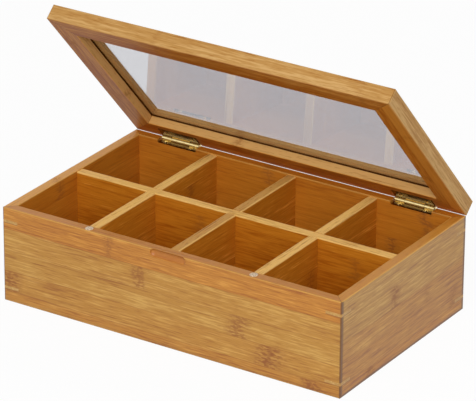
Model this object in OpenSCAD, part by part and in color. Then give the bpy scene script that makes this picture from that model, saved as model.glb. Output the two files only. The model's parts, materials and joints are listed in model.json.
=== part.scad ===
// Bamboo tea box with a hinged, windowed lid: eight compartments in two rows of four, keyed
// mitre corners, a half-lapped divider grid and two mortised butt hinges.
// Millimetres. X runs along the length and Y towards the hinges. The origin is the centre of
// the bottom panel's underside, on which the box stands. The lid is drawn as it stands open.

/* [Box] */
// Overall length
box_w = 314; // [270:1:360]
// Overall depth, front to back
box_d = 188; // [160:1:220]
// Height of the four walls
wall_h = 81.5; // [60:0.5:100]
// Thickness of the four walls
wall_t = 8.6; // [8:0.1:10]
// Thickness of the bottom panel
bottom_t = 3; // [2:0.5:4]
// How far the bottom panel is let into each wall
bottom_lip = 4; // [3:0.5:5]
// Radius eased onto the outer edges
edge_r = 0.8; // [0.4:0.1:1.2]
// Radius eased onto the inner edges of the rim and the lid's frame
inner_edge_r = 0.5; // [0.2:0.1:0.8]

/* [Dividers] */
// Thickness of the dividers
divider_t = 8; // [5:0.5:9]
// How far the dividers stop below the rim
divider_drop = 0.8; // [0.4:0.1:3]
// Radius eased onto the dividers' top edges
divider_edge_r = 0.9; // [0.4:0.1:1.5]

/* [Corner keys] */
// Thickness of the keys let across the mitres
key_t = 2.8; // [2:0.1:4]
// Length of a key along each wall
key_leg = 14; // [10:0.5:15]
// Height of the lower keys above the base, and depth of the upper keys below the rim
key_inset = 11.8; // [8:0.1:18]

/* [Front rim] */
// Width of the finger notch
notch_w = 33; // [24:1:45]
// Height of the finger notch where it meets the front
notch_h = 7; // [5:0.5:8]
// Depth of the finger notch
notch_depth = 2.5; // [1.5:0.1:3]
// Diameter of the bumper pads
pad_d = 6.5; // [5:0.5:7]
// Distance from the front to the centre of a bumper pad
pad_inset = 3.9; // [3.6:0.1:4.4]

/* [Lid] */
// Thickness of the lid's frame
lid_t = 13.3; // [12.5:0.1:16]
// Width of the frame's members on the underside
frame_w = 20; // [17:0.5:26]
// How far the upper lip reaches in past the frame's inner wall
lip_w = 7.3; // [5:0.1:10]
// Depth of the clear pane above the frame's underside
pane_depth = 7.9; // [6:0.1:8.5]
// Thickness of the clear pane
pane_t = 2; // [1.5:0.1:2.5]
// Angle at which the lid stands open
lid_open = 48; // [0:1:100]

/* [Hinges] */
// Length of a hinge along its barrel
hinge_len = 36; // [30:1:48]
// Distance from the box's end to the middle of a hinge
hinge_inset = 45.5; // [40:0.5:70]
// Width of a lid leaf, from the pin's axis
lid_leaf_w = 12.4; // [9:0.1:13]
// Thickness of a hinge leaf
leaf_t = 1.1; // [0.9:0.1:1.2]
// Diameter of the hinge pin
pin_d = 2.3; // [2.2:0.1:2.5]
// Distance from the box's back to the pin's axis
pin_inset = 1.4; // [1.3:0.05:1.45]
// Depth of the pin's axis below the rim
pin_drop = 0.6; // [0.55:0.05:0.7]
// Parting gap between the rim and the shut lid
lid_gap = 1; // [0.95:0.05:1.1]
// Extra length of a mortise at each end of its hinge
mortise_slack = 1; // [0.2:0.1:1.5]
// Length of the hinge screws
screw_len = 7; // [5:0.5:8]

/* [Hidden] */
$fn = 48;

// Colours
outer_wood = [0.80, 0.57, 0.29];
inner_wood = [0.72, 0.46, 0.20];
key_wood = [0.86, 0.68, 0.42];
brass = [0.82, 0.68, 0.36];
clear_plastic = [0.78, 0.78, 0.82, 0.4];
clear_rubber = [0.90, 0.88, 0.84, 0.7];

// Margin by which a cutter runs past the wood it cuts
over = 2;

// Divider grid
columns = 4;
inner_w = box_w - 2 * wall_t;
inner_d = box_d - 2 * wall_t;
column_pitch = (inner_w + divider_t) / columns;
divider_top = wall_h - divider_drop;
lap_z = (bottom_t + divider_top) / 2;
lap_clear = 0.1;
panel_clear = 0.2;

// Finger notch: radius of the round cutter, and how far the notch breaks the rim
notch_r = (pow(notch_depth, 2) + pow(notch_h / 2, 2)) / (2 * notch_depth);
notch_rise = 0.5;

// Hinge barrel: the leaves roll round the pin and the barrel stands slightly proud of them
pin_clear = 0.05;
barrel_proud = 0.05;
bore_r = pin_d / 2 + pin_clear;
barrel_r = bore_r + leaf_t;
leaf_out = barrel_r - barrel_proud;
leaf_in = leaf_out - leaf_t;
knuckle_gap = 0.2;
pin_overhang = 0.1;
pin_chamfer = 0.4;

// The box leaf stops just short of the wall's inner face, and its bed runs out there
leaf_setback = 0.05;
box_leaf_w = wall_t - pin_inset - leaf_setback;
bed_clear = 0.15;
relief_clear = 0.4;
relief_r = barrel_r + relief_clear;
mortise_len = hinge_len + 2 * mortise_slack;

// The pins' axis
hinge_x = box_w / 2 - hinge_inset;
axis_y = box_d / 2 - pin_inset;
axis_z = wall_h - pin_drop;

// Countersunk screws near the ends of each leaf
screw_inset = 6;
screw_x = hinge_len / 2 - screw_inset;
shank_r = 0.9;
head_r = 1.9;
head_h = 0.9;
tip_h = 1.6;
hole_clear = 0.05;
pilot_extra = 0.3;

// The pane sits in a groove round the frame, under the lip
groove_depth = 2.6;
groove_gap = 0.7;
pane_side_gap = 0.5;

// The pads stop the shut lid just clear of the rim
pad_clear = 0.1;
pad_h = lid_gap - pad_clear;
pad_wall_h = 0.4;

// Waste outside a quarter round, for an edge at the origin of a solid that fills +X, +Y
module edge_waste(r) {
    difference() {
        translate([-over, -over]) square(r + over);
        translate([r, r]) circle(r);
    }
}

// Moves its child to a corner of a w by d plan, turned so that +X and +Y point inwards
module at_corner(w, d, right, rear) {
    mirror([right ? 1 : 0, 0, 0])
        mirror([0, rear ? 1 : 0, 0])
            translate([-w / 2, -d / 2, 0])
                children();
}

// The front member of a mitred frame of w by d; its child is the section (inward, up)
module mitred_member(w, d, reach, h) {
    difference() {
        intersection() {
            translate([0, -d / 2, 0])
                rotate([90, 0, 90])
                    linear_extrude(w, center = true)
                        children();
            translate([0, -d / 2, -over])
                linear_extrude(h + 2 * over)
                    polygon([
                        [-w / 2 - over, -over], [w / 2 + over, -over],
                        [w / 2 - reach, reach], [reach - w / 2, reach]
                    ]);
        }
        for (right = [false, true])
            at_corner(w, d, right, false)
                translate([0, 0, -over])
                    linear_extrude(h + 2 * over)
                        edge_waste(edge_r);
    }
}

// Section of a wall: eased edges, and a rabbet for the bottom panel
module wall_section() {
    difference() {
        square([wall_t, wall_h]);
        edge_waste(edge_r);
        translate([0, wall_h]) mirror([0, 1]) edge_waste(edge_r);
        translate([wall_t, wall_h]) rotate(180) edge_waste(inner_edge_r);
        translate([wall_t - bottom_lip, -over]) square([bottom_lip + over, bottom_t + over]);
    }
}

// The two three-cornered keys of one corner; a margin widens them outwards to cut their slots
module key_pair(margin) {
    for (z = [key_inset, wall_h - key_inset])
        translate([0, 0, z - key_t / 2])
            linear_extrude(key_t)
                polygon([
                    [-margin, -margin], [key_leg + margin, -margin], [-margin, key_leg + margin]
                ]);
}

// A wall at the front of a plan of w by d, slotted for the keys at both its ends
module wall(w, d) {
    difference() {
        mitred_member(w, d, wall_t, wall_h) wall_section();
        for (right = [false, true])
            at_corner(w, d, right, false) key_pair(over);
    }
}

// Round-ended groove for a fingertip, under the edge of the shut lid
module finger_notch() {
    straight = notch_w - notch_h;
    translate([0, notch_depth - notch_r - box_d / 2, wall_h - notch_h / 2 + notch_rise]) {
        rotate([0, 90, 0]) cylinder(r = notch_r, h = straight, center = true);
        for (side = [-1, 1])
            translate([side * straight / 2, 0, 0]) sphere(notch_r);
    }
}

// Moves its child from the pin's axis, at the middle of a hinge, to the left or right hinge
module at_hinge(side) {
    translate([side * hinge_x, axis_y, axis_z]) children();
}

// Turns the shut lid about the pins' axis to where it stands open
module on_lid() {
    translate([0, axis_y, axis_z])
        rotate([-lid_open, 0, 0])
            translate([0, -axis_y, -axis_z])
                children();
}

// Moves its child from the pin's axis to both screws, on the inner face of a leaf of width w
module at_screws(w) {
    for (side = [-1, 1])
        translate([side * screw_x, -(w + relief_r) / 2, -leaf_in]) children();
}

// Waste for a leaf of width w below the axis: its bed, room for the barrel, and pilot holes
module hinge_mortise(w, bed_w) {
    translate([-mortise_len / 2, -bed_w, -leaf_out])
        cube([mortise_len, bed_w + pin_inset + over, leaf_out + over]);
    translate([-mortise_len / 2, -relief_r, -relief_r])
        cube([mortise_len, relief_r + pin_inset + over, relief_r + over]);
    at_screws(w)
        translate([0, 0, -screw_len - pilot_extra])
            cylinder(r = shank_r + hole_clear, h = screw_len);
}

// Countersunk hole through a leaf, from the middle of its face down
module screw_hole() {
    rotate_extrude()
        polygon([
            [0, over], [head_r + hole_clear, over], [head_r + hole_clear, 0],
            [shank_r + hole_clear, -head_h], [shank_r + hole_clear, -leaf_t - over],
            [0, -leaf_t - over]
        ]);
}

// A leaf of width w below the axis, rolled into a knuckle over each [start, end] stretch
module hinge_leaf(w, knuckles) {
    difference() {
        union() {
            translate([-hinge_len / 2, -w, -leaf_out])
                cube([hinge_len, w - relief_r, leaf_t]);
            for (knuckle = knuckles)
                translate([knuckle[0], 0, 0]) {
                    translate([0, -relief_r - 1, -leaf_out])
                        cube([knuckle[1] - knuckle[0], relief_r + 1, leaf_t]);
                    rotate([0, 90, 0])
                        cylinder(r = barrel_r, h = knuckle[1] - knuckle[0]);
                }
        }
        rotate([0, 90, 0])
            cylinder(r = bore_r, h = hinge_len + 2 * over, center = true);
        at_screws(w) screw_hole();
    }
}

// The box leaf carries the two short end knuckles
module box_leaf() {
    split = hinge_len / 4 + knuckle_gap / 2;
    hinge_leaf(box_leaf_w, [[-hinge_len / 2, -split], [split, hinge_len / 2]]);
}

// The lid leaf carries the long middle knuckle, and lies above the axis when the lid is shut
module lid_leaf() {
    split = hinge_len / 4 - knuckle_gap / 2;
    mirror([0, 0, 1]) hinge_leaf(lid_leaf_w, [[-split, split]]);
}

module hinge_pin() {
    half = hinge_len / 2 + pin_overhang;
    rotate([0, 90, 0])
        rotate_extrude()
            polygon([
                [0, -half], [pin_d / 2 - pin_chamfer, -half], [pin_d / 2, pin_chamfer - half],
                [pin_d / 2, half - pin_chamfer], [pin_d / 2 - pin_chamfer, half], [0, half]
            ]);
}

// The two screws of a leaf of width w below the axis
module leaf_screws(w) {
    at_screws(w)
        rotate_extrude()
            polygon([
                [0, 0], [head_r, 0], [shank_r, -head_h], [shank_r, tip_h - screw_len],
                [0, -screw_len]
            ]);
}

// Section of a lid member: eased edges, a rabbet under the lip, and the pane's groove
module frame_section() {
    reach = frame_w + lip_w;
    lip_z = pane_depth + pane_t;
    difference() {
        square([reach, lid_t]);
        edge_waste(edge_r);
        translate([0, lid_t]) mirror([0, 1]) edge_waste(edge_r);
        translate([reach, lid_t]) rotate(180) edge_waste(inner_edge_r);
        translate([frame_w, -over]) square([lip_w + over, lip_z + over]);
        translate([frame_w, 0]) mirror([1, 0]) edge_waste(inner_edge_r);
        translate([frame_w - groove_depth, pane_depth - groove_gap])
            square([groove_depth + over, pane_t + groove_gap]);
    }
}

// The front member of the shut lid's frame, on a plan of w by d
module lid_member(w, d) {
    translate([0, 0, wall_h + lid_gap])
        mitred_member(w, d, frame_w + lip_w, lid_t) frame_section();
}

module divider_section() {
    h = divider_top - bottom_t;
    difference() {
        square([divider_t, h]);
        translate([0, h]) mirror([0, 1]) edge_waste(divider_edge_r);
        translate([divider_t, h]) rotate(180) edge_waste(divider_edge_r);
    }
}

// A divider along X, centred on the box's middle and standing on the bottom panel
module divider_board(length) {
    translate([0, -divider_t / 2, bottom_t])
        rotate([90, 0, 90])
            linear_extrude(length, center = true)
                divider_section();
}

// Slot through a board along X at x, above or below the laps' common level
module lap_slot(x, above) {
    lap_w = divider_t + 2 * lap_clear;
    translate([x - lap_w / 2, -divider_t, above ? lap_z : -over])
        cube([lap_w, 2 * divider_t, above ? wall_h : lap_z + over]);
}

module front_panel() {
    color(outer_wood)
        difference() {
            wall(box_w, box_d);
            finger_notch();
        }
}

module rear_panel() {
    color(outer_wood)
        difference() {
            rotate(180) wall(box_w, box_d);
            for (side = [-1, 1])
                at_hinge(side) hinge_mortise(box_leaf_w, wall_t + over);
        }
}

module side_panel(side) {
    color(outer_wood) rotate(side * 90) wall(box_d, box_w);
}

module bottom_panel() {
    let_in = 2 * (bottom_lip - panel_clear);
    color(inner_wood)
        translate([-(inner_w + let_in) / 2, -(inner_d + let_in) / 2, 0])
            cube([inner_w + let_in, inner_d + let_in, bottom_t]);
}

module long_divider() {
    color(inner_wood)
        difference() {
            divider_board(inner_w);
            for (place = [-1, 0, 1])
                lap_slot(place * column_pitch, false);
        }
}

module short_divider(place) {
    color(inner_wood)
        translate([place * column_pitch, 0, 0])
            rotate(90)
                difference() {
                    divider_board(inner_d);
                    lap_slot(0, true);
                }
}

module corner_keys(right, rear) {
    color(key_wood)
        at_corner(box_w, box_d, right, rear)
            difference() {
                key_pair(0);
                translate([0, 0, -over]) linear_extrude(wall_h + 2 * over) edge_waste(edge_r);
            }
}

module bumper_pad(side) {
    cap_h = pad_h - pad_wall_h;
    cap_r = (pow(pad_d / 2, 2) + pow(cap_h, 2)) / (2 * cap_h);
    color(clear_rubber)
        translate([side * column_pitch, pad_inset - box_d / 2, wall_h])
            intersection() {
                cylinder(d = pad_d, h = pad_h + over, $fn = 96);
                translate([0, 0, pad_h - cap_r]) sphere(cap_r, $fn = 192);
            }
}

module lid_front_rail() {
    color(outer_wood) on_lid() lid_member(box_w, box_d);
}

module lid_rear_rail() {
    color(outer_wood)
        on_lid()
            difference() {
                rotate(180) lid_member(box_w, box_d);
                for (side = [-1, 1])
                    at_hinge(side)
                        mirror([0, 0, 1])
                            hinge_mortise(lid_leaf_w, lid_leaf_w + bed_clear);
            }
}

module lid_stile(side) {
    color(outer_wood) on_lid() rotate(side * 90) lid_member(box_d, box_w);
}

module lid_pane() {
    rim = frame_w - groove_depth + pane_side_gap;
    color(clear_plastic)
        on_lid()
            translate([rim - box_w / 2, rim - box_d / 2, wall_h + lid_gap + pane_depth])
                cube([box_w - 2 * rim, box_d - 2 * rim, pane_t]);
}

module hinge_box_leaf(side) {
    color(brass) at_hinge(side) box_leaf();
}

module hinge_lid_leaf(side) {
    color(brass) on_lid() at_hinge(side) lid_leaf();
}

module hinge_pin_at(side) {
    color(brass) at_hinge(side) hinge_pin();
}

module hinge_box_screws(side) {
    color(brass) at_hinge(side) leaf_screws(box_leaf_w);
}

module hinge_lid_screws(side) {
    color(brass) on_lid() at_hinge(side) mirror([0, 0, 1]) leaf_screws(lid_leaf_w);
}

front_panel();
rear_panel();
side_panel(-1);  // left_side_panel
side_panel(1);  // right_side_panel
bottom_panel();
long_divider();
short_divider(-1);  // left_divider
short_divider(0);  // centre_divider
short_divider(1);  // right_divider
corner_keys(false, false);  // front_left_keys
corner_keys(true, false);  // front_right_keys
corner_keys(false, true);  // rear_left_keys
corner_keys(true, true);  // rear_right_keys
bumper_pad(-1);  // left_bumper_pad
bumper_pad(1);  // right_bumper_pad
lid_front_rail();
lid_rear_rail();
lid_stile(-1);  // lid_left_stile
lid_stile(1);  // lid_right_stile
lid_pane();
hinge_box_leaf(-1);  // left_hinge_box_leaf
hinge_lid_leaf(-1);  // left_hinge_lid_leaf
hinge_pin_at(-1);  // left_hinge_pin
hinge_box_screws(-1);  // left_hinge_box_screws
hinge_lid_screws(-1);  // left_hinge_lid_screws
hinge_box_leaf(1);  // right_hinge_box_leaf
hinge_lid_leaf(1);  // right_hinge_lid_leaf
hinge_pin_at(1);  // right_hinge_pin
hinge_box_screws(1);  // right_hinge_box_screws
hinge_lid_screws(1);  // right_hinge_lid_screws
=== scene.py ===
import bmesh
import bpy
import json
import math
import random
from mathutils import Matrix, Vector


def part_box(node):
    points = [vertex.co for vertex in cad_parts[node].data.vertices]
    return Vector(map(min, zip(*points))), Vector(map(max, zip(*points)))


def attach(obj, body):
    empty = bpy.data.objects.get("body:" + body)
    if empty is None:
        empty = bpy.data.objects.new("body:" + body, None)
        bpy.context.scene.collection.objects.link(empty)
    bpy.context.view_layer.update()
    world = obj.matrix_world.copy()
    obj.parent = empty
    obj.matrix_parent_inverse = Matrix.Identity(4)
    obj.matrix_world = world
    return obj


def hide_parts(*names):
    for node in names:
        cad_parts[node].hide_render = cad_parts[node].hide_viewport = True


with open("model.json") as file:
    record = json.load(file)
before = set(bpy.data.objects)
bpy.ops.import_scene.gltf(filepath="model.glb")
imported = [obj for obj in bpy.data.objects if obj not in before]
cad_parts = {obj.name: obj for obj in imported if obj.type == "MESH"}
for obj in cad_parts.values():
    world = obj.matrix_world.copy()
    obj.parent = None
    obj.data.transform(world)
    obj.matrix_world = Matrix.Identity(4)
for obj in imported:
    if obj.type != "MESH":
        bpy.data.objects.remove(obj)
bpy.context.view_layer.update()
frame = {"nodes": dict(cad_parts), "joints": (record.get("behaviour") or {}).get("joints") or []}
cadNodes = frame["nodes"]
mm = 0.001

# The hinge line, and the turn that shuts the lid from where it stands open at rest
hinge = frame["joints"][0]
hingePoint = Vector(hinge["pos_m"])
lidOpen = -math.radians(hinge["range_deg"][0])
shutTurn = Matrix.Translation(hingePoint) @ Matrix.Rotation(lidOpen, 4, "X") @ Matrix.Translation(-hingePoint)

# Half the box's outer length and depth, from its walls
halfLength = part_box("front_panel")[1][0]
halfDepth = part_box("rear_panel")[1][1]
print("frame loaded,", len(cadNodes), "CAD nodes")


def feed(tree, value, socket):
    if isinstance(value, bpy.types.NodeSocket):
        tree.links.new(value, socket)
    else:
        socket.default_value = value


def addNode(tree, kind, inputs=None, **settings):
    node = tree.nodes.new(kind)
    for name, value in settings.items():
        setattr(node, name, value)
    for key, value in (inputs or {}).items():
        feed(tree, value, node.inputs[key])
    return node


def calc(tree, operation, *values):
    node = addNode(tree, "ShaderNodeMath", operation=operation)
    for socket, value in zip(node.inputs, values):
        feed(tree, value, socket)
    return node.outputs[0]


def chain(tree, operation, first, *others):
    for value in others:
        first = calc(tree, operation, first, value)
    return first


def vectorCalc(tree, operation, *values):
    node = addNode(tree, "ShaderNodeVectorMath", operation=operation)
    for socket, value in zip(node.inputs, values):
        feed(tree, value, socket)
    return node.outputs[0]


def split(tree, vector):
    return addNode(tree, "ShaderNodeSeparateXYZ", {0: vector}).outputs


def join(tree, parts):
    return addNode(tree, "ShaderNodeCombineXYZ", dict(enumerate(parts))).outputs[0]


def noise(tree, vector, scale, detail=2.0, roughness=0.55):
    # scale is in blotches per metre, along, across and through
    scaled = vectorCalc(tree, "MULTIPLY", vector, scale)
    settings = {"Vector": scaled, "Scale": 1.0, "Detail": detail, "Roughness": roughness}
    return addNode(tree, "ShaderNodeTexNoise", settings).outputs["Fac"]


def remap(tree, value, fromLow, fromHigh, toLow=0.0, toHigh=1.0):
    node = addNode(tree, "ShaderNodeMapRange", interpolation_type="SMOOTHSTEP")
    for socket, number in zip(node.inputs, (value, fromLow, fromHigh, toLow, toHigh)):
        feed(tree, number, socket)
    return node.outputs[0]


def mixColour(tree, factor, first, second, blend="MIX"):
    node = addNode(tree, "ShaderNodeMix", data_type="RGBA", blend_type=blend)
    for index, value in ((0, factor), (6, first), (7, second)):   # the sockets for colours
        feed(tree, value, node.inputs[index])
    return node.outputs[2]


def stepRamp(tree, value, stops):
    node = addNode(tree, "ShaderNodeValToRGB", {"Fac": value})
    node.color_ramp.interpolation = "CONSTANT"
    elements = node.color_ramp.elements
    while len(elements) < len(stops):
        elements.new(0.5)   # placed below
    for element, (position, level) in zip(elements, stops):
        element.position = position
        element.color = (level, level, level, 1.0)
    return node.outputs[0]


def newGroup(name, inputs, outputs):
    tree = bpy.data.node_groups.new(name, "ShaderNodeTree")
    types = {"number": "NodeSocketFloat", "colour": "NodeSocketColor", "vector": "NodeSocketVector"}
    for direction, sockets in (("INPUT", inputs), ("OUTPUT", outputs)):
        for label, kind in sockets.items():
            tree.interface.new_socket(label, in_out=direction, socket_type=types[kind])
    return tree, tree.nodes.new("NodeGroupInput").outputs, tree.nodes.new("NodeGroupOutput").inputs


def placeGroup(tree, group, inputs):
    node = addNode(tree, "ShaderNodeGroup", node_tree=group)
    for label, value in inputs.items():
        feed(tree, value, node.inputs[label])
    return node.outputs


def newMaterial(name):
    material = bpy.data.materials.new(name)
    material.use_nodes = True
    tree = material.node_tree
    return material, tree, tree.nodes["Principled BSDF"]


def addBump(tree, shader, height, distance):
    bump = addNode(tree, "ShaderNodeBump", {"Height": height, "Distance": distance, "Strength": 1.0})
    feed(tree, bump.outputs[0], shader.inputs["Normal"])


# The wood of the boards: its colours, how the lid, the rims and the faces inside differ, partly by painted
# shade and light, its varnish, and the distances over which its lines and faces fade in or out. skin is how
# deep the look of one face reaches.
bamboo = {
    "colours": {
        "Pale": (0.66, 0.378, 0.09, 1), "Middle": (0.51, 0.245, 0.034, 1), "Deep": (0.33, 0.112, 0.009, 1),
        "Warm": (1.08, 0.765, 0.33, 1), "Mark Colour": (0.29, 0.088, 0.012, 1),
        "JointAndShade Colour": (0.13, 0.045, 0.010, 1)},
    "lidColours": {"Pale": (0.66, 0.405, 0.155, 1), "Middle": (0.525, 0.282, 0.082, 1)},
    "dividerColours": {"Pale": (0.86, 0.56, 0.19, 1)},
    # The faces inside the box and under the lid get painted warm shade, and the rims their own tone and
    # warmth
    "contrast": 1.0, "calmInside": -0.45, "insideShadeWarmth": 1.0, "undersideWarmth": 0.7,
    "rimTone": 1.0, "rimWarmth": 0.7, "skin": 0.7 * mm, "bump": 0.05 * mm,
    "coat": 0.2, "coatFade": 0.5, "coatRoughness": 0.25, "dullCoat": 0.04, "dullSpecular": 0.12,
    "seamFade": (0.352 * mm, 0.088 * mm), "mitreLine": 0.2 * mm, "mitreFade": (1.4, 0.5),
    "mitreDepth": (0.2 * mm, 0.5 * mm), "foot": (3.0 * mm, 1.5 * mm), "recessShadeFrom": (0.1 * mm, 0.6 * mm),
    "recessShadeTo": (4.4 * mm, 4.0 * mm), "endFace": (0.75, 0.95),
}

# The grain: its layers of noise as (scale, roughness, how far it swings the tone), then the hairs, the pores
# and the dots of cut fibre ends, and what each does to the colour, the roughness and the relief
grainLook = {
    "layers": (((48, 760, 760), 0.65, 1.7), ((17, 400, 400), 0.6, 0.95),
               ((7, 125, 125), 0.55, 0.45), ((13, 34, 34), 0.55, 0.45)),
    "bendScale": (9, 25, 25), "bend": 3 * mm,
    "hairScale": (12, 520, 520), "hair": (0.6, 0.74), "hairDark": 0.42, "hairSunk": -0.3,
    "poreScale": (110, 900, 900), "pores": (0.56, 0.7), "poreDark": 0.28, "poreSunk": -0.35,
    "dotScale": 1500.0, "dots": (0.42, 0.2, 0.2, 0.7),
    # Seams and joints darken and edges pale partly as painted shade and painted highlight
    "seamAndShadeDark": 0.5, "wearAndHighlightPale": 0.38, "jointAndShadeDark": 0.85,
    "rough": 0.36, "fineRough": 0.18, "roughened": {"Mark": 0.14, "Wear": 0.08},
    "relief": 0.5, "sunk": {"Mark": -0.7, "Seam": -0.7, "Joint": -2.2},
}

# A growth ring of the culm: its wavy line, the halo of dashes round it, and where a strip's edge ends it
culm = {
    "waveScale": (2, 130, 130), "wave": 11 * mm, "halo": (1.0, 0.1), "core": (0.2, 0.02), "coreDark": 0.66,
    "dashScale": (210, 560, 560), "dashes": (0.46, 0.6), "dashDark": 0.72, "haloDark": 0.24,
    "stripFade": 0.7 * mm,
}

# Rubbed edges, pale partly from wear and partly as painted highlight: how far they reach in, how ragged they
# are, and their patches
wearAndHighlight = {"reach": 1.3 * mm, "ragged": 1.1, "fade": (1.0, 0.35), "patchScale": (60, 90, 90)}


def makeCulmMark():
    # One growth ring of the culm across one strip: short dark dashes about a faint wavy line
    tree, given, out = newGroup(
        "culmMark",
        {"Along": "number", "Across": "number", "Vector": "vector", "Centre": "number",
         "Low": "number", "High": "number", "Reach": "number", "Strength": "number"},
        {"Mark": "number"})
    wave = calc(tree, "SUBTRACT", noise(tree, given["Vector"], culm["waveScale"]), 0.5)
    place = calc(tree, "SUBTRACT", given["Along"], given["Centre"])
    offset = calc(tree, "ABSOLUTE", calc(tree, "MULTIPLY_ADD", wave, culm["wave"], place))
    share = calc(tree, "DIVIDE", offset, given["Reach"])
    dashes = remap(tree, noise(tree, given["Vector"], culm["dashScale"], 1.0), *culm["dashes"])
    dark = calc(tree, "MULTIPLY_ADD", dashes, culm["dashDark"], culm["haloDark"])
    halo = calc(tree, "MULTIPLY", remap(tree, share, *culm["halo"]), dark)
    core = calc(tree, "MULTIPLY", remap(tree, share, *culm["core"]), culm["coreDark"])
    fade = culm["stripFade"]
    above = remap(tree, calc(tree, "SUBTRACT", given["Across"], given["Low"]), -fade, fade)
    below = remap(tree, calc(tree, "SUBTRACT", given["High"], given["Across"]), -fade, fade)
    mark = calc(tree, "MAXIMUM", halo, core)
    feed(tree, chain(tree, "MULTIPLY", mark, above, below, given["Strength"]), out["Mark"])
    return tree


def makeEdgeWearAndHighlight():
    # Pale rubbed wood with a painted highlight along one edge of a board, where the distances to both its
    # faces are small
    tree, given, out = newGroup(
        "edgeWearAndHighlight",
        {"First": "number", "Second": "number", "Reach": "number", "Patches": "number"},
        {"Wear": "number"})
    away = calc(tree, "MAXIMUM", *(calc(tree, "ABSOLUTE", given[label]) for label in ("First", "Second")))
    share = calc(tree, "DIVIDE", away, given["Reach"])
    patches = calc(tree, "SUBTRACT", given["Patches"], 0.5)
    ragged = calc(tree, "MULTIPLY_ADD", patches, wearAndHighlight["ragged"], share)
    feed(tree, remap(tree, ragged, *wearAndHighlight["fade"]), out["Wear"])
    return tree


def makeMitreLine():
    # The dark hairline where two mitred boards meet, at any corner of a rectangular frame; made wider, it
    # is painted shade on a rounded corner
    tree, given, out = newGroup(
        "mitreLine",
        {"Vector": "vector", "Half Length": "number", "Half Depth": "number", "Line": "number"},
        {"Joint": "number"})
    parts = split(tree, given["Vector"])
    fromEnd = calc(tree, "SUBTRACT", given["Half Length"], calc(tree, "ABSOLUTE", parts[0]))
    fromSide = calc(tree, "SUBTRACT", given["Half Depth"], calc(tree, "ABSOLUTE", parts[1]))
    away = calc(tree, "ABSOLUTE", calc(tree, "SUBTRACT", fromEnd, fromSide))
    share = calc(tree, "DIVIDE", away, given["Line"])
    feed(tree, remap(tree, share, *bamboo["mitreFade"]), out["Joint"])
    return tree


def makeBamboo():
    # Varnished laminated bamboo. Vector runs along, across and through the board, in metres
    tree, given, out = newGroup(
        "bamboo",
        {"Vector": "vector", "Tone": "number", "Contrast": "number", "Warmth": "number", "Mark": "number",
         "Seam": "number", "Wear": "number", "Joint": "number", "End": "number", "Pale": "colour",
         "Middle": "colour", "Deep": "colour", "Warm": "colour", "Mark Colour": "colour",
         "JointAndShade Colour": "colour"},
        {"Color": "colour", "Roughness": "number", "Height": "number"})
    grain = given["Vector"]
    bend = calc(tree, "SUBTRACT", noise(tree, grain, grainLook["bendScale"], 1.0), 0.5)
    bend = calc(tree, "MULTIPLY", bend, grainLook["bend"])
    grain = vectorCalc(tree, "ADD", grain, join(tree, (0.0, bend, 0.0)))
    layers = [noise(tree, grain, scale, 2.0, roughness) for scale, roughness, swing in grainLook["layers"]]
    fine, fibre = layers[:2]
    hair = remap(tree, noise(tree, grain, grainLook["hairScale"], 1.0), *grainLook["hair"])
    pores = remap(tree, noise(tree, grain, grainLook["poreScale"], 1.0), *grainLook["pores"])

    # The tone picks a colour from deep through middle to pale
    tone = given["Tone"]
    for layer, (scale, roughness, swing) in zip(layers, grainLook["layers"]):
        change = calc(tree, "MULTIPLY", calc(tree, "SUBTRACT", layer, 0.5), swing)
        tone = calc(tree, "MULTIPLY_ADD", change, given["Contrast"], tone)
    low = mixColour(tree, remap(tree, tone, 0.0, 0.5), given["Deep"], given["Middle"])
    colour = mixColour(tree, remap(tree, tone, 0.5, 1.0), low, given["Pale"])

    darker = calc(tree, "MULTIPLY", pores, grainLook["poreDark"])
    darker = calc(tree, "MULTIPLY_ADD", hair, grainLook["hairDark"], darker)
    darker = calc(tree, "MULTIPLY", darker, given["Contrast"])
    # Seams darken, and on the walls so does the recesses' painted shade
    darker = calc(tree, "MULTIPLY_ADD", given["Seam"], grainLook["seamAndShadeDark"], darker)
    colour = mixColour(tree, darker, colour, given["Deep"])
    # Warmth is each strip's own hue, and painted warm shade inside the box and under the lid
    colour = mixColour(tree, given["Warmth"], colour, given["Warm"], "MULTIPLY")
    colour = mixColour(tree, given["Mark"], colour, given["Mark Colour"])

    # Cut fibre ends show as dark dots; rubbed edges are pale and joints dark, partly as painted highlight and
    # shade
    cell = addNode(tree, "ShaderNodeTexVoronoi", {"Vector": grain, "Scale": grainLook["dotScale"]})
    dots = remap(tree, cell.outputs["Distance"], *grainLook["dots"])
    covers = (("End", dots, "Mark Colour"), ("Wear", grainLook["wearAndHighlightPale"], "Pale"),
              ("Joint", grainLook["jointAndShadeDark"], "JointAndShade Colour"))
    for mask, amount, cover in covers:
        colour = mixColour(tree, calc(tree, "MULTIPLY", given[mask], amount), colour, given[cover])
    feed(tree, colour, out["Color"])

    rough = calc(tree, "MULTIPLY_ADD", fine, grainLook["fineRough"], grainLook["rough"])
    for mask, amount in grainLook["roughened"].items():
        rough = calc(tree, "MULTIPLY_ADD", given[mask], amount, rough)
    feed(tree, rough, out["Roughness"])

    height = calc(tree, "MULTIPLY", fibre, grainLook["relief"])
    height = calc(tree, "MULTIPLY_ADD", fine, grainLook["relief"], height)
    height = calc(tree, "MULTIPLY_ADD", pores, grainLook["poreSunk"], height)
    height = calc(tree, "MULTIPLY_ADD", hair, grainLook["hairSunk"], height)
    for mask, amount in grainLook["sunk"].items():
        height = calc(tree, "MULTIPLY_ADD", given[mask], amount, height)
    feed(tree, height, out["Height"])
    return tree


culmMark = makeCulmMark()
edgeWearAndHighlight = makeEdgeWearAndHighlight()
mitreLine = makeMitreLine()
bambooGrain = makeBamboo()
print("node groups made")
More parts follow.
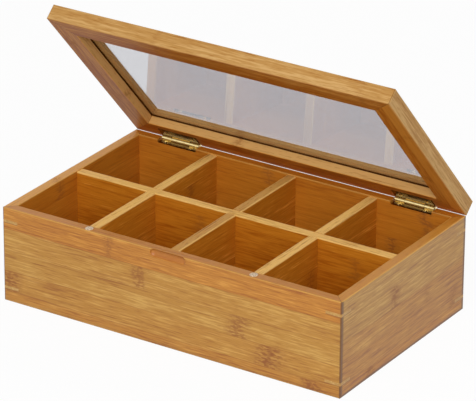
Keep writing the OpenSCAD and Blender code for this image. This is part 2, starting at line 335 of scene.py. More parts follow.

# Each board, in millimetres: the axes along, across and through it, with the side each is measured from; the
# width of its strips and where the first seam lies; one tone and one warmth per strip; and its culm marks as
# (place along, strip, reach, strength). A wall also has the width of its corner line, widened by painted
# shade on the rounded corner, and how dark the painted shadow along its foot is; a divider how pale painted
# light makes its top; and a lid piece how far painted shade darkens its underside and painted light brightens
# the wall beside the pane. A board's own rim or underside settings take the place of those in bamboo.
boards = {
    "front_panel": {
        "kind": "wall", "axes": ("+X", "+Z", "+Y"), "strip": 18.2, "firstSeam": 8.7,
        "corner": 0.8, "foot": 0.216,
        "tones": (0.48, 0.52, 0.58, 0.6, 0.49), "warmth": (0.35, 0.15, 0.05, 0.1, 0.7),
        "marks": ((5, 1, 16, 0.95), (101, 4, 7, 0.65), (129, 3, 10, 0.85), (221, 2, 15, 0.8),
                  (250, 1, 19, 1.0), (288, 0, 15, 1.0))},
    # The rear panel's rim is darker and warmer as painted shadow of the open lid
    "rear_panel": {
        "kind": "wall", "axes": ("-X", "+Z", "-Y"), "strip": 18.2, "firstSeam": 13.1,
        "corner": 0.8, "foot": 0.216, "rimTone": 0.5, "rimWarmth": 1.0,
        "tones": (0.5, 0.42, 0.58, 0.5, 0.4), "warmth": (0.1, 0.3, 0.05, 0.2, 0.4),
        "marks": ((31, 4, 9, 0.9), (31, 3, 7, 0.6), (62, 2, 9, 0.8), (94, 1, 12, 0.8), (178, 4, 9, 0.7),
                  (236, 2, 12, 0.9), (291, 0, 9, 0.7))},
    "left_side_panel": {
        "kind": "wall", "axes": ("-Y", "+Z", "+X"), "strip": 18.2, "firstSeam": 10.4,
        "corner": 3.4, "foot": 0.918,
        "tones": (0.42, 0.55, 0.5, 0.6, 0.44), "warmth": (0.3, 0.1, 0.2, 0.05, 0.3),
        "marks": ((38, 2, 12, 0.8), (121, 4, 8, 0.6), (139, 1, 11, 0.8))},
    "right_side_panel": {
        "kind": "wall", "axes": ("+Y", "+Z", "-X"), "strip": 18.2, "firstSeam": 8.9,
        "corner": 3.4, "foot": 0.918,
        "tones": (0.36, 0.44, 0.5, 0.56, 0.58), "warmth": (0.5, 0.34, 0.26, 0.03, 0.0),
        "marks": ((79, 3, 11, 0.8), (42, 0, 12, 0.8), (170, 1, 10, 0.5), (128, 2, 8, 0.3))},
    "bottom_panel": {
        "kind": "bottom", "axes": ("+X", "+Y", "+Z"), "strip": 20.4, "firstSeam": 7,
        "tones": (0.4, 0.5, 0.35, 0.45, 0.55), "warmth": (0.2, 0.1, 0.4, 0.3, 0.1),
        "marks": ((60, 2, 12, 0.8), (150, 5, 12, 0.8), (220, 3, 10, 0.8), (270, 7, 12, 0.8))},
    "long_divider": {
        "kind": "divider", "axes": ("+X", "+Z", "+Y"), "strip": 18.2, "firstSeam": 14, "topTone": 0.6,
        "tones": (0.22, 0.32, 0.28, 0.34, 0.45), "warmth": (0.3, 0.2, 0.4, 0.3, 0.3),
        "marks": ((40, 2, 10, 0.6), (118, 3, 9, 0.5), (196, 1, 10, 0.6), (262, 3, 9, 0.6))},
    "left_divider": {
        "kind": "divider", "axes": ("+Y", "+Z", "+X"), "strip": 18.2, "firstSeam": 11, "topTone": 0.55,
        "tones": (0.5, 0.42, 0.52, 0.46, 0.55), "warmth": (0.3, 0.2, 0.4, 0.3, 0.3),
        "marks": ((58, 2, 10, 0.6), (131, 3, 10, 0.6))},
    "centre_divider": {
        "kind": "divider", "axes": ("+Y", "+Z", "+X"), "strip": 18.2, "firstSeam": 5, "topTone": 0.55,
        "tones": (0.42, 0.52, 0.46, 0.55, 0.5), "warmth": (0.3, 0.2, 0.4, 0.3, 0.3),
        "marks": ((33, 1, 10, 0.6), (104, 3, 10, 0.5))},
    "right_divider": {
        "kind": "divider", "axes": ("+Y", "+Z", "+X"), "strip": 18.2, "firstSeam": 16, "topTone": 0.55,
        "tones": (0.46, 0.5, 0.42, 0.55, 0.5), "warmth": (0.3, 0.2, 0.4, 0.3, 0.3),
        "marks": ((72, 2, 10, 0.6), (147, 1, 10, 0.6))},
    "lid_front_rail": {
        "kind": "lid", "axes": ("+X", "+Y", "+Z"), "strip": 40, "firstSeam": 12, "underside": -0.5,
        "tones": (0.58, 0.48), "warmth": (0.1, 0.25),
        "marks": ((101, 0, 5, 0.4), (232, 1, 7, 0.4), (288, 0, 5, 0.4))},
    "lid_rear_rail": {
        "kind": "lid", "axes": ("-X", "-Y", "+Z"), "strip": 40, "firstSeam": 13, "underside": -0.4,
        "undersideWarmth": 1.0, "innerTone": 0.6, "tones": (0.5, 0.56), "warmth": (0.1, 0.3),
        "marks": ((84, 0, 8, 0.6), (207, 1, 8, 0.6))},
    "lid_left_stile": {
        "kind": "lid", "axes": ("-Y", "+X", "+Z"), "strip": 40, "firstSeam": 11, "underside": -0.32,
        "innerTone": 1.0, "tones": (0.46, 0.56), "warmth": (0.1, 0.3),
        "marks": ((66, 1, 8, 0.5), (152, 0, 8, 0.6))},
    "lid_right_stile": {
        "kind": "lid", "axes": ("+Y", "-X", "+Z"), "strip": 40, "firstSeam": 10.5, "underside": -0.35,
        "undersideWarmth": 1.0, "tones": (0.74, 0.56), "warmth": (0.1, 0.5),
        "marks": ((58, 0, 6, 0.4), (128, 1, 8, 0.5))},
}

# The lid's frame is two layers thick, the upper one darker, and its lip stands further in than innerWall; the
# painted shade on the frame's underside reaches in over the last pair of distances
lidLayers = {
    "split": 6.65 * mm, "blend": 0.1 * mm, "lower": 0.08, "upper": -0.1, "innerWall": 20 * mm,
    "underside": (0.84 * mm, 0.14 * mm),
}


def turnShut(tree, vector, centre):
    settings = {"Vector": vector, "Center": centre, "Angle": lidOpen}
    return addNode(tree, "ShaderNodeVectorRotate", settings, rotation_type="X_AXIS").outputs[0]


def shutBounds(name):
    # Lowest and highest corner of a lid piece once the lid is turned shut
    points = [shutTurn @ v.co for v in cadNodes[name].data.vertices]
    return [Vector([pick(p[i] for p in points) for i in range(3)]) for pick in (min, max)]


def placeBoard(tree, name, board, seed):
    # Distances along, across and through the board, from the sides that it names, as if the lid were shut
    places = tree.nodes.new("ShaderNodeTexCoord").outputs
    point, facing = places["Object"], places["Normal"]
    low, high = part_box(name)
    if board["kind"] == "lid":
        point = turnShut(tree, point, hingePoint)
        facing = turnShut(tree, facing, (0, 0, 0))
        low, high = shutBounds(name)
    parts = split(tree, point)
    measures, sizes = [], []
    for side, axis in board["axes"]:
        i = "XYZ".index(axis)
        ends = (parts[i], low[i]) if side == "+" else (high[i], parts[i])
        measures.append(calc(tree, "SUBTRACT", *ends))
        sizes.append(high[i] - low[i])
    lengthwise = calc(tree, "ABSOLUTE", split(tree, facing)["XYZ".index(board["axes"][0][1])])
    shift = random.Random(seed)
    grain = vectorCalc(tree, "ADD", join(tree, measures), [shift.uniform(1, 9) for _ in range(3)])
    return point, lengthwise, grain, measures, sizes


def stripBounds(board, index):
    # Where a strip starts and ends across its board, counted from 0
    first, strip = board["firstSeam"] * mm, board["strip"] * mm
    return (first + strip * (index - 1), first + strip * index) if index else (0.0, first)


def stripLook(tree, board, across, width):
    # One tone and one warmth per strip, and the seams between the strips
    share = calc(tree, "DIVIDE", across, width)
    look = {}
    for label, key in (("Tone", "tones"), ("Warmth", "warmth")):
        starts = [stripBounds(board, index)[0] for index in range(len(board[key]))]
        stops = [(min(start / width, 0.999), level) for start, level in zip(starts, board[key])]
        look[label] = stepRamp(tree, share, stops)
    fromSeam = calc(tree, "SUBTRACT", across, board["firstSeam"] * mm)
    away = calc(tree, "PINGPONG", fromSeam, board["strip"] * mm / 2)
    look["Seam"] = remap(tree, away, *bamboo["seamFade"])
    return look


def addCulmMarks(tree, board, grain, measures):
    mark = 0.0
    for place, index, reach, strength in board["marks"]:
        low, high = stripBounds(board, index)
        made = placeGroup(tree, culmMark, {
            "Along": measures[0], "Across": measures[1], "Vector": grain, "Centre": place * mm,
            "Low": low, "High": high, "Reach": reach * mm, "Strength": strength})["Mark"]
        mark = calc(tree, "MAXIMUM", mark, made)
    return mark


def addEdgeWearAndHighlight(tree, grain, measures, sizes):
    patches = noise(tree, grain, wearAndHighlight["patchScale"], 2.0)
    wornAndHighlit = 0.0
    for side in (0, sizes[1]):
        for face in (0, sizes[2]):
            made = placeGroup(tree, edgeWearAndHighlight, {
                "First": calc(tree, "SUBTRACT", measures[1], side),
                "Second": calc(tree, "SUBTRACT", measures[2], face),
                "Reach": wearAndHighlight["reach"], "Patches": patches})["Wear"]
            wornAndHighlit = calc(tree, "MAXIMUM", wornAndHighlit, made)
    return wornAndHighlit


def skinMask(tree, place, face, start, end, full=1.0):
    # Fades in near a face; start and end are its distances from the face, in thicknesses of the skin
    return remap(tree, place, face - start * bamboo["skin"], face - end * bamboo["skin"], 0.0, full)


def addMitreLine(tree, point, line):
    return placeGroup(tree, mitreLine, {
        "Vector": point, "Half Length": halfLength, "Half Depth": halfDepth, "Line": line})["Joint"]


# The next three give each kind of board its look, painted shade and light among it, and return how warm a
# point is, mostly as painted warm shade, and how thick its varnish
def lidLook(tree, board, look, point, measures, sizes):
    across, through = measures[1:]
    middle, blend = lidLayers["split"], lidLayers["blend"]
    layer = remap(tree, through, middle - blend, middle + blend, lidLayers["lower"], lidLayers["upper"])
    tone = calc(tree, "ADD", look["Tone"], layer)
    # Painted shade darkens and warms the underside, and painted light brightens the wall beside the pane
    under = remap(tree, through, *lidLayers["underside"])
    tone = calc(tree, "MULTIPLY_ADD", under, board["underside"], tone)
    inner = calc(tree, "MULTIPLY", skinMask(tree, across, lidLayers["innerWall"], 1.0, 0.3),
                 skinMask(tree, through, sizes[2], 1.0, 2.0))
    look["Tone"] = calc(tree, "MULTIPLY_ADD", inner, board.get("innerTone", 0.0), tone)
    look["Joint"] = addMitreLine(tree, point, bamboo["mitreLine"])
    warmth = board.get("undersideWarmth", bamboo["undersideWarmth"])
    return calc(tree, "MULTIPLY", under, warmth), bamboo["dullCoat"]


def wallLook(tree, board, look, point, measures, sizes):
    across, through = measures[1:]
    width, depth = sizes[1:]
    # The rim takes its own tone and warmth; on the rear panel they are painted shadow of the lid
    rim = skinMask(tree, across, width, 1.0, 0.3)
    offRim = calc(tree, "SUBTRACT", 1.0, rim)
    change = calc(tree, "SUBTRACT", board.get("rimTone", bamboo["rimTone"]), look["Tone"])
    look["Tone"] = calc(tree, "MULTIPLY_ADD", rim, change, look["Tone"])
    look["Warmth"] = calc(tree, "MULTIPLY", look["Warmth"], offRim)
    # Painted warm shade on the faces inside the box
    inside = skinMask(tree, through, depth, 1.0, 0.4, bamboo["insideShadeWarmth"])
    rimWarmth = calc(tree, "MULTIPLY", rim, board.get("rimWarmth", bamboo["rimWarmth"]))
    inside = calc(tree, "MAXIMUM", calc(tree, "MULTIPLY", inside, offRim), rimWarmth)

    # Painted shade in the finger notch and the hinge beds, which are darkened like a seam
    cut = chain(tree, "MULTIPLY", remap(tree, through, *bamboo["recessShadeFrom"]),
                remap(tree, across, *(width - edge for edge in bamboo["recessShadeFrom"])),
                remap(tree, through, *bamboo["recessShadeTo"]))
    look["Seam"] = calc(tree, "MAXIMUM", look["Seam"], cut)

    # The corner line, widened below the rim and only outside, is partly painted shade; the foot gets a
    # painted shadow
    line = remap(tree, across, width - bamboo["skin"], width, board["corner"] * mm, bamboo["mitreLine"])
    outside = remap(tree, through, *(depth - edge for edge in bamboo["mitreDepth"]))
    cornerJointAndShade = calc(tree, "MULTIPLY", addMitreLine(tree, point, line), outside)
    foot = remap(tree, across, *bamboo["foot"], 0.0, board["foot"])
    look["Joint"] = calc(tree, "MAXIMUM", cornerJointAndShade, foot)
    return inside, remap(tree, inside, bamboo["coatFade"], 0.0, 0.0, bamboo["coat"])


def innerLook(tree, board, look, point, measures, sizes):
    across, width = measures[1], sizes[1]
    # The top is paler as painted light from above, and below it the faces get painted warm shade
    top = skinMask(tree, across, width, 2.0, 1.0)
    look["Tone"] = calc(tree, "MULTIPLY_ADD", top, board.get("topTone", 0.0), look["Tone"])
    look["Joint"] = 0.0
    return skinMask(tree, across, width, 1.0, 2.0, bamboo["insideShadeWarmth"]), bamboo["dullCoat"]


# How each kind of board looks, and its own colours and specular level where it has them
kinds = {
    "wall": {"look": wallLook, "colours": {}},
    "bottom": {"look": innerLook, "colours": {}},
    "divider": {"look": innerLook, "colours": bamboo["dividerColours"], "specular": bamboo["dullSpecular"]},
    "lid": {"look": lidLook, "colours": bamboo["lidColours"], "specular": bamboo["dullSpecular"]},
}


def boardMaterial(name, board, seed):
    material, tree, shader = newMaterial(name + "_bamboo")
    point, lengthwise, grain, measures, sizes = placeBoard(tree, name, board, seed)
    kind = kinds[board["kind"]]
    look = stripLook(tree, board, measures[1], sizes[1])
    inside, coat = kind["look"](tree, board, look, point, measures, sizes)
    # Painted warm shade joins the strips' own warmth
    look["Warmth"] = calc(tree, "MAXIMUM", look["Warmth"], inside)
    look["Contrast"] = calc(tree, "MULTIPLY_ADD", inside, bamboo["calmInside"], bamboo["contrast"])
    look["Mark"] = addCulmMarks(tree, board, grain, measures)
    look["Wear"] = addEdgeWearAndHighlight(tree, grain, measures, sizes)
    look["End"] = remap(tree, lengthwise, *bamboo["endFace"])
    made = placeGroup(tree, bambooGrain, {"Vector": grain, **look, **bamboo["colours"], **kind["colours"]})
    feed(tree, made["Color"], shader.inputs["Base Color"])
    feed(tree, made["Roughness"], shader.inputs["Roughness"])
    addBump(tree, shader, made["Height"], bamboo["bump"])
    feed(tree, coat, shader.inputs["Coat Weight"])
    shader.inputs["Coat Roughness"].default_value = bamboo["coatRoughness"]
    if "specular" in kind:
        shader.inputs["Specular IOR Level"].default_value = kind["specular"]
    return material


def dress(name, material):
    slots = cadNodes[name].material_slots
    for slot in slots:
        slot.material = material
    if not slots:
        cadNodes[name].data.materials.append(material)


for seed, (name, board) in enumerate(boards.items()):
    dress(name, boardMaterial(name, board, seed))
print("boards dressed")

# The keys' grain runs across the corner they are let into
keys = {
    "colours": {
        "Pale": (0.70, 0.44, 0.15, 1), "Middle": (0.58, 0.32, 0.075, 1), "Deep": (0.42, 0.18, 0.025, 1),
        "Warm": (1, 1, 1, 1), "Mark Colour": (0.25, 0.082, 0.014, 1),
        "JointAndShade Colour": (0.33, 0.112, 0.009, 1)},
    "tone": 0.6, "contrast": 0.8, "end": 0.35, "lowerEdgeDarkLine": (0.75 * mm, 0.25 * mm),
    "nodes": {"front_left_keys": (1, -1), "front_right_keys": (1, 1), "rear_left_keys": (1, 1),
              "rear_right_keys": (1, -1)},
}


def islands(mesh, weld=0.001 * mm):
    # The separate solids of a CAD node, as lists of points
    whole = bmesh.new()
    whole.from_mesh(mesh)
    bmesh.ops.remove_doubles(whole, verts=whole.verts, dist=weld)
    left, groups = set(whole.verts), []
    while left:
        found, queue = [], [left.pop()]
        while queue:
            vert = queue.pop()
            found.append(vert.co.copy())
            near = {edge.other_vert(vert) for edge in vert.link_edges} & left
            left -= near
            queue += near
        groups.append(found)
    whole.free()
    return groups


def keyMaterial(name, direction):
    material, tree, shader = newMaterial(name + "_bamboo")
    parts = split(tree, tree.nodes.new("ShaderNodeTexCoord").outputs["Object"])
    root = math.sqrt(0.5)
    along = calc(tree, "MULTIPLY_ADD", parts[0], root * direction[0],
                 calc(tree, "MULTIPLY", parts[1], root * direction[1]))
    through = calc(tree, "MULTIPLY_ADD", parts[0], root * direction[1],
                   calc(tree, "MULTIPLY", parts[1], -root * direction[0]))
    grain = join(tree, (along, parts[2], through))

    # A dark line along each key's lower face
    away = 1.0
    for solid in islands(cadNodes[name].data):
        foot = min(point.z for point in solid)
        away = calc(tree, "MINIMUM", away, calc(tree, "ABSOLUTE", calc(tree, "SUBTRACT", parts[2], foot)))
    lowerEdgeDark = remap(tree, away, *keys["lowerEdgeDarkLine"])
    made = placeGroup(tree, bambooGrain, {
        "Vector": grain, "Tone": keys["tone"], "Contrast": keys["contrast"], "End": keys["end"],
        "Warmth": 0.0, "Seam": 0.0, "Joint": lowerEdgeDark, "Mark": 0.0, "Wear": 0.0, **keys["colours"]})
    feed(tree, made["Color"], shader.inputs["Base Color"])
    feed(tree, made["Roughness"], shader.inputs["Roughness"])
    addBump(tree, shader, made["Height"], bamboo["bump"])
    shader.inputs["Coat Weight"].default_value = bamboo["coat"]
    shader.inputs["Coat Roughness"].default_value = bamboo["coatRoughness"]
    return material


for name, direction in keys["nodes"].items():
    dress(name, keyMaterial(name, direction))
print("keys dressed")

# Distances are from the edge of the window that the lip leaves open, less than 0 under the lip
pane = {
    "clear": (0.95, 0.96, 0.97, 1), "slanted": (0.33, 0.325, 0.36, 1), "slant": (0.3, 0.72),
    "windowEdge": (0.45 * mm, 1.08 * mm), "groove": (-6.3 * mm, -6.8 * mm),
    "grooveShade": (0.09, 0.035, 0.008, 1), "smearScale": (14, 30, 30), "smears": (0.4, 0.75),
    "roughness": (0.012, 0.05), "ior": 1.49, "lets": (0.9, 0.9, 0.9, 1),
}


def paneMaterial():
    # Clear acrylic, a little grey where it is seen at a slant as painted reflection and shade, that lets the
    # lamps' light through
    material, tree, shader = newMaterial("clearAcrylic")
    place = tree.nodes.new("ShaderNodeTexCoord").outputs["Object"]

    # How far a point is inside the window that the frame's lip leaves open
    left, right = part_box("lid_left_stile")[1].x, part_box("lid_right_stile")[0].x
    front, rear = shutBounds("lid_front_rail")[1].y, shutBounds("lid_rear_rail")[0].y
    parts = split(tree, turnShut(tree, place, hingePoint))
    gaps = (calc(tree, "SUBTRACT", parts[0], left), calc(tree, "SUBTRACT", right, parts[0]),
            calc(tree, "SUBTRACT", parts[1], front), calc(tree, "SUBTRACT", rear, parts[1]))
    inside = chain(tree, "MINIMUM", *gaps)
    window = remap(tree, inside, *pane["windowEdge"])

    facing = addNode(tree, "ShaderNodeLayerWeight", {"Blend": 0.5}).outputs["Facing"]
    slant = calc(tree, "MULTIPLY", window, remap(tree, facing, *pane["slant"]))
    colour = mixColour(tree, slant, pane["clear"], pane["slanted"])
    # Painted shade: the groove that holds the pane shows as a dark line round it
    colour = mixColour(tree, remap(tree, inside, *pane["groove"]), colour, pane["grooveShade"])
    feed(tree, colour, shader.inputs["Base Color"])
    smears = noise(tree, place, pane["smearScale"], 4.0, 0.6)
    feed(tree, remap(tree, smears, *pane["smears"], *pane["roughness"]), shader.inputs["Roughness"])
    shader.inputs["IOR"].default_value = pane["ior"]
    shader.inputs["Transmission Weight"].default_value = 1.0
    rays = tree.nodes.new("ShaderNodeLightPath").outputs
    lit = calc(tree, "MAXIMUM", rays["Is Shadow Ray"], rays["Is Diffuse Ray"])
    through = addNode(tree, "ShaderNodeBsdfTransparent", {"Color": pane["lets"]})
    mix = addNode(tree, "ShaderNodeMixShader", {0: lit, 1: shader.outputs[0], 2: through.outputs[0]})
    feed(tree, mix.outputs[0], tree.nodes["Material Output"].inputs["Surface"])
    return material


dress("lid_pane", paneMaterial())

pads = {
    "colour": (0.93, 0.72, 0.5, 1), "ior": 1.41, "transmission": 0.3,
    "cloudScale": (900, 900, 900), "cloud": (0.35, 0.7), "roughness": (0.22, 0.44),
}


def padMaterial():
    material, tree, shader = newMaterial("clearSilicone")
    shader.inputs["Base Color"].default_value = pads["colour"]
    place = tree.nodes.new("ShaderNodeTexCoord").outputs["Object"]
    cloud = noise(tree, place, pads["cloudScale"], 2.0)
    feed(tree, remap(tree, cloud, *pads["cloud"], *pads["roughness"]), shader.inputs["Roughness"])
    shader.inputs["IOR"].default_value = pads["ior"]
    shader.inputs["Transmission Weight"].default_value = pads["transmission"]
    return material


for name in ("left_bumper_pad", "right_bumper_pad"):
    dress(name, padMaterial())
print("pane and pads dressed")

brass = {
    "colour": (0.93, 0.76, 0.37, 1), "tarnish": (0.74, 0.56, 0.25, 1), "leaf": (0.16, 0.085, 0.018, 1),
    "leafDullAndShade": 0.93, "barrel": (2.7 * mm, 3.4 * mm), "blotchScale": (160, 220, 220), "stain": (0.42, 0.75),
    "scratchScale": (300, 9000, 9000), "scratchRough": 0.4, "scratch": 0.001 * mm,
    "rubbed": (0.4, 1.0), "roughness": (0.13, 0.28),
}


def brassMaterial(name, dullShadedLeaves):
    # Bright rolled brass: fine scratches along the barrel, and tarnish in blotches
    material, tree, shader = newMaterial(name)
    place = tree.nodes.new("ShaderNodeTexCoord").outputs["Object"]
    blotch = noise(tree, place, brass["blotchScale"], 4.0, 0.6)
    scratches = noise(tree, place, brass["scratchScale"], 2.0, 0.6)
    colour = mixColour(tree, remap(tree, blotch, *brass["stain"]), brass["colour"], brass["tarnish"])
    if dullShadedLeaves:
        # The barrel is rubbed bright and the leaves are dull, and darker still as painted reflection of the
        # dark wood about them
        offset = vectorCalc(tree, "SUBTRACT", place, hingePoint)
        offset = vectorCalc(tree, "MULTIPLY", offset, (0, 1, 1))
        away = addNode(tree, "ShaderNodeVectorMath", {0: offset}, operation="LENGTH").outputs["Value"]
        dull = remap(tree, away, *brass["barrel"], 0.0, brass["leafDullAndShade"])
        colour = mixColour(tree, dull, colour, brass["leaf"])
    feed(tree, colour, shader.inputs["Base Color"])
    rubbed = calc(tree, "MULTIPLY_ADD", scratches, brass["scratchRough"], blotch)
    feed(tree, remap(tree, rubbed, *brass["rubbed"], *brass["roughness"]), shader.inputs["Roughness"])
    shader.inputs["Metallic"].default_value = 1.0
    addBump(tree, shader, scratches, brass["scratch"])
    return material


hingeBrass = brassMaterial("hingeBrass", True)
for side in ("left", "right"):
    for piece in ("box_leaf", "lid_leaf", "pin"):
        name = side + "_hinge_" + piece
        dress(name, hingeBrass)
print("hinges dressed")

# Countersunk cross-head wood screws, in millimetres and degrees, with the CAD screws' places and lengths
screw = {
    "headRadius": 1.9, "headHeight": 0.9, "headLip": 0.12,
    "dome": 0.34, "domeRings": (1, 0.97, 0.88, 0.72, 0.5, 0.25), "domeFlat": 0.002,
    "coreRadius": 0.62, "threadRadius": 0.9, "pitch": 0.9, "ridge": 0.28, "plain": 1.4,
    "tip": 1.6, "tipShare": 0.03,
    "recess": 1.1, "recessWidth": 0.34, "recessDepth": 0.6, "recessTaper": 0.35, "clearance": 0.1,
    "around": 32, "rings": 8, "sharpAngle": 32, "turns": {"left": (20, 65), "right": (-35, 10)},
}
screwBrass = brassMaterial("screwBrass", False)


def screwRadius(depth, angle, length):
    # Radius of a screw at a depth below its head's top, and at an angle for the thread
    if depth < 0:
        return screw["headRadius"] * math.sqrt(max(screw["domeFlat"], 1 - (depth / screw["dome"]) ** 2))
    if depth <= screw["headLip"]:
        return screw["headRadius"]
    if depth <= screw["headHeight"]:
        share = (depth - screw["headLip"]) / (screw["headHeight"] - screw["headLip"])
        return screw["headRadius"] + share * (screw["threadRadius"] - screw["headRadius"])
    if depth <= screw["plain"]:
        return screw["threadRadius"]
    phase = (depth / screw["pitch"] - angle / math.tau) % 1.0
    ridge = max(0.0, 1.0 - abs(phase - 0.5) / screw["ridge"])
    taper = min(1.0, max(screw["tipShare"], (length - depth) / screw["tip"]))
    return taper * (screw["coreRadius"] + ridge * (screw["threadRadius"] - screw["coreRadius"]))


def screwMesh(length):
    step = screw["pitch"] / screw["rings"]
    depths = [-screw["dome"] * share for share in screw["domeRings"]]
    depths += [0, screw["headLip"], screw["headHeight"], screw["plain"]]
    depths += [screw["plain"] + step * (i + 1) for i in range(int((length - screw["plain"]) / step))]
    body = bmesh.new()
    around = screw["around"]
    angles = [math.tau * k / around for k in range(around)]
    rings = []
    for depth in depths:
        radii = [screwRadius(depth, angle, length) for angle in angles]
        points = [(r * math.cos(a), r * math.sin(a), -depth) for r, a in zip(radii, angles)]
        rings.append([body.verts.new(Vector(point) * mm) for point in points])
    for upper, lower in zip(rings, rings[1:]):
        for k in range(around):
            n = (k + 1) % around
            body.faces.new((upper[k], lower[k], lower[n], upper[n]))
    body.faces.new(rings[0])
    body.faces.new(rings[-1][::-1])
    bmesh.ops.recalc_face_normals(body, faces=body.faces)
    mesh = bpy.data.meshes.new("screwBody")
    body.to_mesh(mesh)
    body.free()
    return mesh


def recessMesh():
    # Cutter for the cross recess: two crossed wedges that narrow with depth
    cutter = bmesh.new()
    top, bottom = screw["dome"] + screw["clearance"], -screw["recessDepth"]
    half = screw["recessWidth"] / 2
    for turn in (0, math.pi / 2):
        spin = Matrix.Rotation(turn, 4, "Z")
        corners = []
        for z, reach in ((top, screw["recess"]), (bottom, screw["recessTaper"] * screw["recess"])):
            ring = ((-reach, -half), (reach, -half), (reach, half), (-reach, half))
            corners.append([cutter.verts.new(spin @ Vector((x, y, z)) * mm) for x, y in ring])
        high, low = corners
        cutter.faces.new(high)
        cutter.faces.new(low[::-1])
        for k in range(4):
            n = (k + 1) % 4
            cutter.faces.new((high[k], low[k], low[n], high[n]))
    bmesh.ops.recalc_face_normals(cutter, faces=cutter.faces)
    mesh = bpy.data.meshes.new("recess")
    cutter.to_mesh(mesh)
    cutter.free()
    return mesh


def addScrews(node, body, turns):
    # Both screws of a leaf as one piece, each standing where the node's own solid stands
    tilt = Matrix.Rotation(math.pi - lidOpen, 4, "X") if body == "lid" else Matrix()
    joined = bmesh.new()
    solids = sorted(islands(cadNodes[node].data), key=lambda points: points[0].x)
    for points, turn in zip(solids, turns):
        upright = [tilt.to_3x3().transposed() @ point for point in points]
        low, high = [Vector([pick(p[i] for p in upright) for i in range(3)]) for pick in (min, max)]
        head = tilt.to_3x3() @ Vector(((low.x + high.x) / 2, (low.y + high.y) / 2, high.z))
        shank = bpy.data.objects.new("screwBody", screwMesh((high.z - low.z) / mm))
        cutter = bpy.data.objects.new("recess", recessMesh())
        for made in (shank, cutter):
            bpy.context.scene.collection.objects.link(made)
        cut = shank.modifiers.new("recess", "BOOLEAN")
        cut.object, cut.operation, cut.solver = cutter, "DIFFERENCE", "EXACT"
        cut.use_self = True
        depsgraph = bpy.context.evaluated_depsgraph_get()
        finished = bpy.data.meshes.new_from_object(shank.evaluated_get(depsgraph))
        finished.transform(Matrix.Translation(head) @ tilt @ Matrix.Rotation(math.radians(turn), 4, "Z"))
        joined.from_mesh(finished)
        for made in (shank, cutter):
            bpy.data.objects.remove(made)
    mesh = bpy.data.meshes.new(node + "_turned")
    joined.to_mesh(mesh)
    joined.free()
    for polygon in mesh.polygons:
        polygon.use_smooth = True
    piece = bpy.data.objects.new(node + "_turned", mesh)
    bpy.context.scene.collection.objects.link(piece)
    mesh.materials.append(screwBrass)
    piece.modifiers.new("sharpEdges", "EDGE_SPLIT").split_angle = math.radians(screw["sharpAngle"])
    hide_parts(node)
    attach(piece, body)


for side in ("left", "right"):
    for body in ("box", "lid"):
        addScrews(side + "_hinge_" + body + "_screws", body, screw["turns"][side])
print("screws turned")

# The camera's place is in millimetres and its angles are in degrees
camera = {
    "place": (1462.4, -2270.6, 1308.9), "azimuth": 32.70, "elevation": 24.07, "roll": 0.37,
    "sensor": 36, "focal": 284.4, "shift": (-0.0025, -0.0285), "clip": (0.1, 30),
}


def addCamera():
    data = bpy.data.cameras.new("photoCamera")
    data.sensor_width = camera["sensor"]
    data.lens = camera["focal"]
    data.shift_x, data.shift_y = camera["shift"]
    data.clip_start, data.clip_end = camera["clip"]
    eye = bpy.data.objects.new("photoCamera", data)
    bpy.context.scene.collection.objects.link(eye)
    tilt = Matrix.Rotation(math.radians(90 - camera["elevation"]), 4, "X")
    swing = Matrix.Rotation(math.radians(camera["azimuth"]), 4, "Z")
    roll = Matrix.Rotation(math.radians(camera["roll"]), 4, "Z")
    eye.matrix_world = Matrix.Translation(Vector(camera["place"]) * mm) @ swing @ tilt @ roll
    bpy.context.scene.camera = eye


def seenDirectly(tree):
    # 1 for rays from the camera, a gloss or glass, which see the pale studio; 0 for the light it gives
    rays = tree.nodes.new("ShaderNodeLightPath").outputs
    seen = [rays["Is " + kind + " Ray"] for kind in ("Camera", "Glossy", "Transmission")]
    return chain(tree, "MAXIMUM", *seen)


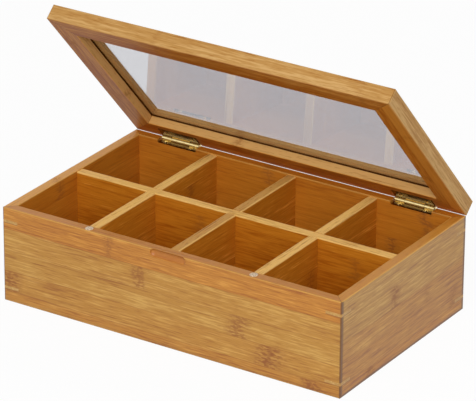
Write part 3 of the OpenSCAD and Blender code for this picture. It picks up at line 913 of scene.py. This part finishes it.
studio = {
    "fill": 0.39, "white": (1, 1, 1, 1), "floorBounce": (0.6, 0.6, 0.6, 1), "floorLift": 0.93,
    "floorRoughness": 0.9, "floorSize": 12,
    "lamps": (
        # name, place in metres, size, power in watts
        ("frontLamp", (0.63, -2.2, 2.0), 1.8, 33),
        ("rightLamp", (1.9, -1.7, 1.6), 1.8, 19),
        ("lowLamp", (0.3, -2.8, 1.0), 1.8, 8),
        ("backLamp", (0.8, 2.5, 1.9), 1.8, 12),
    ),
    "aim": (0, 0, 0.08),
}


def addStudio():
    world = bpy.data.worlds.new("paleStudio")
    bpy.context.scene.world = world
    world.use_nodes = True
    tree = world.node_tree
    background = tree.nodes["Background"]
    background.inputs["Color"].default_value = studio["white"]
    strength = calc(tree, "MULTIPLY_ADD", seenDirectly(tree), 1 - studio["fill"], studio["fill"])
    feed(tree, strength, background.inputs["Strength"])

    half = studio["floorSize"] / 2
    corners = [(-half, -half, 0), (half, -half, 0), (half, half, 0), (-half, half, 0)]
    mesh = bpy.data.meshes.new("floor")
    mesh.from_pydata(corners, [], [(0, 1, 2, 3)])
    floor = bpy.data.objects.new("floor", mesh)
    bpy.context.scene.collection.objects.link(floor)
    material, tree, shader = newMaterial("paleFloor")
    seen = seenDirectly(tree)
    feed(tree, mixColour(tree, seen, studio["floorBounce"], studio["white"]), shader.inputs["Base Color"])
    shader.inputs["Roughness"].default_value = studio["floorRoughness"]
    shader.inputs["Specular IOR Level"].default_value = 0.0
    glow = addNode(tree, "ShaderNodeEmission", {"Color": studio["white"], "Strength": 1.0})
    share = calc(tree, "MULTIPLY", seen, studio["floorLift"])
    mix = addNode(tree, "ShaderNodeMixShader", {0: share, 1: shader.outputs[0], 2: glow.outputs[0]})
    feed(tree, mix.outputs[0], tree.nodes["Material Output"].inputs["Surface"])
    mesh.materials.append(material)

    for name, place, size, power in studio["lamps"]:
        lamp = bpy.data.lights.new(name, "AREA")
        lamp.shape, lamp.size, lamp.energy = "DISK", size, power
        holder = bpy.data.objects.new(name, lamp)
        bpy.context.scene.collection.objects.link(holder)
        holder.location = place
        holder.rotation_euler = (Vector(studio["aim"]) - Vector(place)).to_track_quat("-Z", "Y").to_euler()


addCamera()
addStudio()
bpy.context.scene.view_settings.view_transform = "Standard"
print("camera and studio made")
